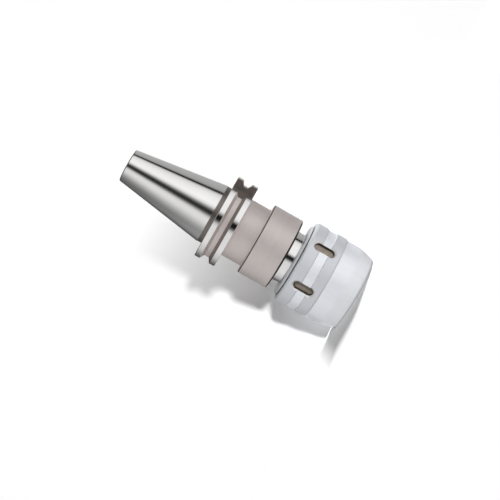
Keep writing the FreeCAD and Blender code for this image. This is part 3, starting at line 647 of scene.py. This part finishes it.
stage = {
    "floorReach": 3.0,
    "backdropGap": 0.032,    # from the axis back to the foot of the backdrop
    "backdropLean": 0.45,     # how far it leans back for each metre up
    "backdropTurn": math.radians(33),
    "backdropReach": 1.6,
    "paperColour": 0.15,
    "floorGlow": 0.86,
    "backdropGlow": 1.15,
    "shadowFrom": 0.05,       # heights between which the shadow on the backdrop dies out
    "shadowTo": 0.155,
    "paperFrom": 0.2,         # distances from the foot between which the papers turn plain white
    "paperTo": 0.45,
    "aheadFrom": 0.06,        # the same for the floor, towards the camera and towards the picture's foot
    "aheadTo": 0.085,
    "asideFrom": 0.036,
    "asideTo": 0.05,
    "footShade": 0.7,         # painted shadow: the darker glow that polished steel shows of the floor close to the foot
    "footNear": 0.06,
    "footFar": 0.12,
}
lampAim = 0.09  # height that the lamps point at
lamps = {       # towards: shares of the way to the camera, to the picture's top and up the axis
    "key": {"towards": (1.0, 0.40, 0.13), "distance": 0.88, "size": 0.12, "watts": 7.2},
    "back": {"towards": (-1.0, 0.8, 0.9), "distance": 0.9, "size": 0.12, "watts": 12.0},
    "side": {"towards": (-0.15, -1.0, 0.06), "distance": 0.9, "size": 0.3, "watts": 5.5},
}


def roundRamp(group, share, stops):
    ramp = group.nodes.new("ShaderNodeValToRGB")
    group.links.new(share, ramp.inputs[0])
    elements = ramp.color_ramp.elements
    for number, (angle, value) in enumerate(stops):
        place = (angle + 180) / 360
        element = elements[number] if number < 2 else elements.new(place)
        element.position = place
        element.color = (value, value, value, 1)
    last = elements.new(1.0)
    last.color = (stops[0][1],) * 3 + (1,)
    return ramp.outputs["Color"]


def makeStudioRound():
    # soft boxes and dark gaps round the holder: X and Y point at a place, Rise is 0 level with it and 1 above
    group, given, result = newGroup("studioRound", [("X", 1.0), ("Y", 0.0), ("Rise", 0.0)], ["Light"])
    turn = mathNode(group, "ARCTAN2", given.outputs["Y"], given.outputs["X"])
    turn = mathNode(group, "SUBTRACT", turn, shot["azimuth"] - math.pi)
    share = mathNode(group, "FRACT", mathNode(group, "DIVIDE", turn, 2 * math.pi))
    mix = group.nodes.new("ShaderNodeMix")
    mix.data_type = "RGBA"
    group.links.new(given.outputs["Rise"], mix.inputs["Factor"])
    group.links.new(roundRamp(group, share, studio["low"]), mix.inputs["A"])
    group.links.new(roundRamp(group, share, studio["high"]), mix.inputs["B"])
    group.links.new(mix.outputs["Result"], result.inputs["Light"])
    return group


studioRound = makeStudioRound()


def rangeNode(tree, value, low, high):
    # 0 at low, 1 at high
    node = tree.nodes.new("ShaderNodeMapRange")
    node.inputs["From Min"].default_value = low
    node.inputs["From Max"].default_value = high
    tree.links.new(value, node.inputs["Value"])
    return node.outputs["Result"]


def blendNode(tree, factor, first, second):
    # each of the two is a socket or a number
    node = tree.nodes.new("ShaderNodeMix")
    tree.links.new(factor, node.inputs["Factor"])
    for slot, value in (("A", first), ("B", second)):
        if isinstance(value, (int, float)):
            node.inputs[slot].default_value = value
        else:
            tree.links.new(value, node.inputs[slot])
    return node.outputs["Result"]


def paperMaterial(name, glow, leans):
    # pale paper: bright to the camera, the studio's ring in polished steel, and clear from behind
    material = bpy.data.materials.new(name)
    material.use_nodes = True
    tree = material.node_tree
    tree.nodes.remove(tree.nodes["Principled BSDF"])
    rays = tree.nodes.new("ShaderNodeLightPath")
    seen = tree.nodes.new("ShaderNodeBsdfDiffuse")
    seen.inputs["Color"].default_value = (glow,) * 3 + (1,)
    plain = tree.nodes.new("ShaderNodeBsdfDiffuse")
    plain.inputs["Color"].default_value = (stage["paperColour"],) * 3 + (1,)
    coordinates = tree.nodes.new("ShaderNodeTexCoord")
    parts = tree.nodes.new("ShaderNodeSeparateXYZ")
    tree.links.new(coordinates.outputs["Object"], parts.inputs[0])
    around = tree.nodes.new("ShaderNodeGroup")
    around.node_tree = studioRound
    tree.links.new(parts.outputs[0], around.inputs["X"])
    tree.links.new(parts.outputs[1], around.inputs["Y"])
    xSquared = mathNode(tree, "MULTIPLY", parts.outputs[0], parts.outputs[0])
    ySquared = mathNode(tree, "MULTIPLY", parts.outputs[1], parts.outputs[1])
    radius = mathNode(tree, "SQRT", mathNode(tree, "ADD", xSquared, ySquared))
    # close to the foot, what steel shows of the paper is darkened as a painted shadow
    away = rangeNode(tree, radius, stage["footNear"], stage["footFar"])
    mirrored = tree.nodes.new("ShaderNodeBsdfPrincipled")
    mirrored.inputs["Base Color"].default_value = (0, 0, 0, 1)
    mirrored.inputs["Specular IOR Level"].default_value = 0
    mirrored.inputs["Emission Strength"].default_value = 1
    reflected = blendNode(tree, away, stage["footShade"], around.outputs["Light"])
    tree.links.new(reflected, mirrored.inputs["Emission Color"])
    clear = tree.nodes.new("ShaderNodeBsdfTransparent")
    geometry = tree.nodes.new("ShaderNodeNewGeometry")
    faded = rangeNode(tree, radius, stage["paperFrom"], stage["paperTo"])
    if leans:
        risen = rangeNode(tree, parts.outputs[2], stage["shadowFrom"], stage["shadowTo"])
        faded = mathNode(tree, "MAXIMUM", faded, risen)
    else:
        for way, start, end in ((toCamera, stage["aheadFrom"], stage["aheadTo"]),
                                (-sideways, stage["asideFrom"], stage["asideTo"])):
            along = mathNode(tree, "MULTIPLY", parts.outputs[0], way.x)
            along = mathNode(tree, "ADD", along, mathNode(tree, "MULTIPLY", parts.outputs[1], way.y))
            faded = mathNode(tree, "MAXIMUM", faded, rangeNode(tree, along, start, end))
    white = tree.nodes.new("ShaderNodeEmission")
    shown = tree.nodes.new("ShaderNodeMixShader")
    tree.links.new(faded, shown.inputs[0])
    tree.links.new(seen.outputs[0], shown.inputs[1])
    tree.links.new(white.outputs[0], shown.inputs[2])
    shader = plain.outputs[0]
    for factor, other in ((rays.outputs["Is Camera Ray"], shown), (rays.outputs["Is Glossy Ray"], mirrored),
                          (geometry.outputs["Backfacing"], clear)):
        mix = tree.nodes.new("ShaderNodeMixShader")
        tree.links.new(factor, mix.inputs[0])
        tree.links.new(shader, mix.inputs[1])
        tree.links.new(other.outputs[0], mix.inputs[2])
        shader = mix.outputs[0]
    tree.links.new(shader, tree.nodes["Material Output"].inputs["Surface"])
    return material


def makeStage():
    bm = bmesh.new()
    bmesh.ops.create_grid(bm, x_segments=1, y_segments=1, size=stage["floorReach"])
    floor = newPiece("floor", bm, [])
    floor.data.materials.append(paperMaterial("floorPaper", stage["floorGlow"], False))
    bm = bmesh.new()
    reach = stage["backdropReach"]
    turn = Matrix.Rotation(stage["backdropTurn"], 3, "Z")
    faces = turn @ toCamera
    across = turn @ sideways * reach
    foot = -faces * stage["backdropGap"]
    back = foot + (upright - faces * stage["backdropLean"]) * reach
    corners = (foot - across, foot + across, back + across, back - across)
    bm.faces.new([bm.verts.new(corner) for corner in corners])
    bmesh.ops.recalc_face_normals(bm, faces=bm.faces[:])
    if bm.faces[:][0].normal.dot(toCamera) < 0:
        bmesh.ops.reverse_faces(bm, faces=bm.faces[:])
    backdrop = newPiece("backdrop", bm, [])
    backdrop.data.materials.append(paperMaterial("backdropPaper", stage["backdropGlow"], True))
    for way in ("visible_diffuse", "visible_glossy", "visible_shadow", "visible_transmission"):
        setattr(backdrop, way, False)


makeStage()
print("stage made")


def makeWorld():
    world = bpy.data.worlds.new("studio")
    bpy.context.scene.world = world
    world.use_nodes = True
    world.cycles.sampling_method = "NONE"  # it is soft enough to be found by chance
    tree = world.node_tree
    coordinates = tree.nodes.new("ShaderNodeTexCoord")
    parts = tree.nodes.new("ShaderNodeSeparateXYZ")
    tree.links.new(coordinates.outputs["Generated"], parts.inputs[0])
    around = tree.nodes.new("ShaderNodeGroup")
    around.node_tree = studioRound
    tree.links.new(parts.outputs[0], around.inputs["X"])
    tree.links.new(parts.outputs[1], around.inputs["Y"])
    tree.links.new(rangeNode(tree, parts.outputs[2], *studio["riseRange"]), around.inputs["Rise"])
    above = rangeNode(tree, parts.outputs[2], *studio["ceilingRange"])
    shown = blendNode(tree, above, around.outputs["Light"], studio["ceiling"])
    facing = tree.nodes.new("ShaderNodeVectorMath")
    facing.operation = "DOT_PRODUCT"
    tree.links.new(coordinates.outputs["Generated"], facing.inputs[0])
    facing.inputs[1].default_value = -(toCamera * studio["fillTurn"][0] + sideways * studio["fillTurn"][1])
    behind = rangeNode(tree, facing.outputs["Value"], *studio["fillRange"])
    fill = blendNode(tree, behind, studio["fillFront"], studio["fillBack"])
    risen = rangeNode(tree, parts.outputs[2], *studio["fillAboveRange"])
    fill = blendNode(tree, risen, fill, studio["fillAbove"])
    rays = tree.nodes.new("ShaderNodeLightPath")
    shown = blendNode(tree, rays.outputs["Is Diffuse Ray"], shown, fill)
    shown = blendNode(tree, rays.outputs["Is Camera Ray"], shown, 1.0)
    tree.links.new(shown, tree.nodes["Background"].inputs["Color"])


makeWorld()


def makeLamp(name, lamp):
    front, across, rise = lamp["towards"]
    way = (toCamera * front + sideways * across + upright * rise).normalized()
    data = bpy.data.lights.new(name, "AREA")
    data.shape = "DISK"
    data.size = lamp["size"]
    data.energy = lamp["watts"]
    light = bpy.data.objects.new(name, data)
    light.location = upright * lampAim + way * lamp["distance"]
    light.rotation_euler = way.to_track_quat("Z", "Y").to_euler()
    light.visible_glossy = False
    light.visible_camera = False
    bpy.context.scene.collection.objects.link(light)


for name, lamp in lamps.items():
    makeLamp(name, lamp)
bpy.context.scene.view_settings.view_transform = "Standard"
print("light set")
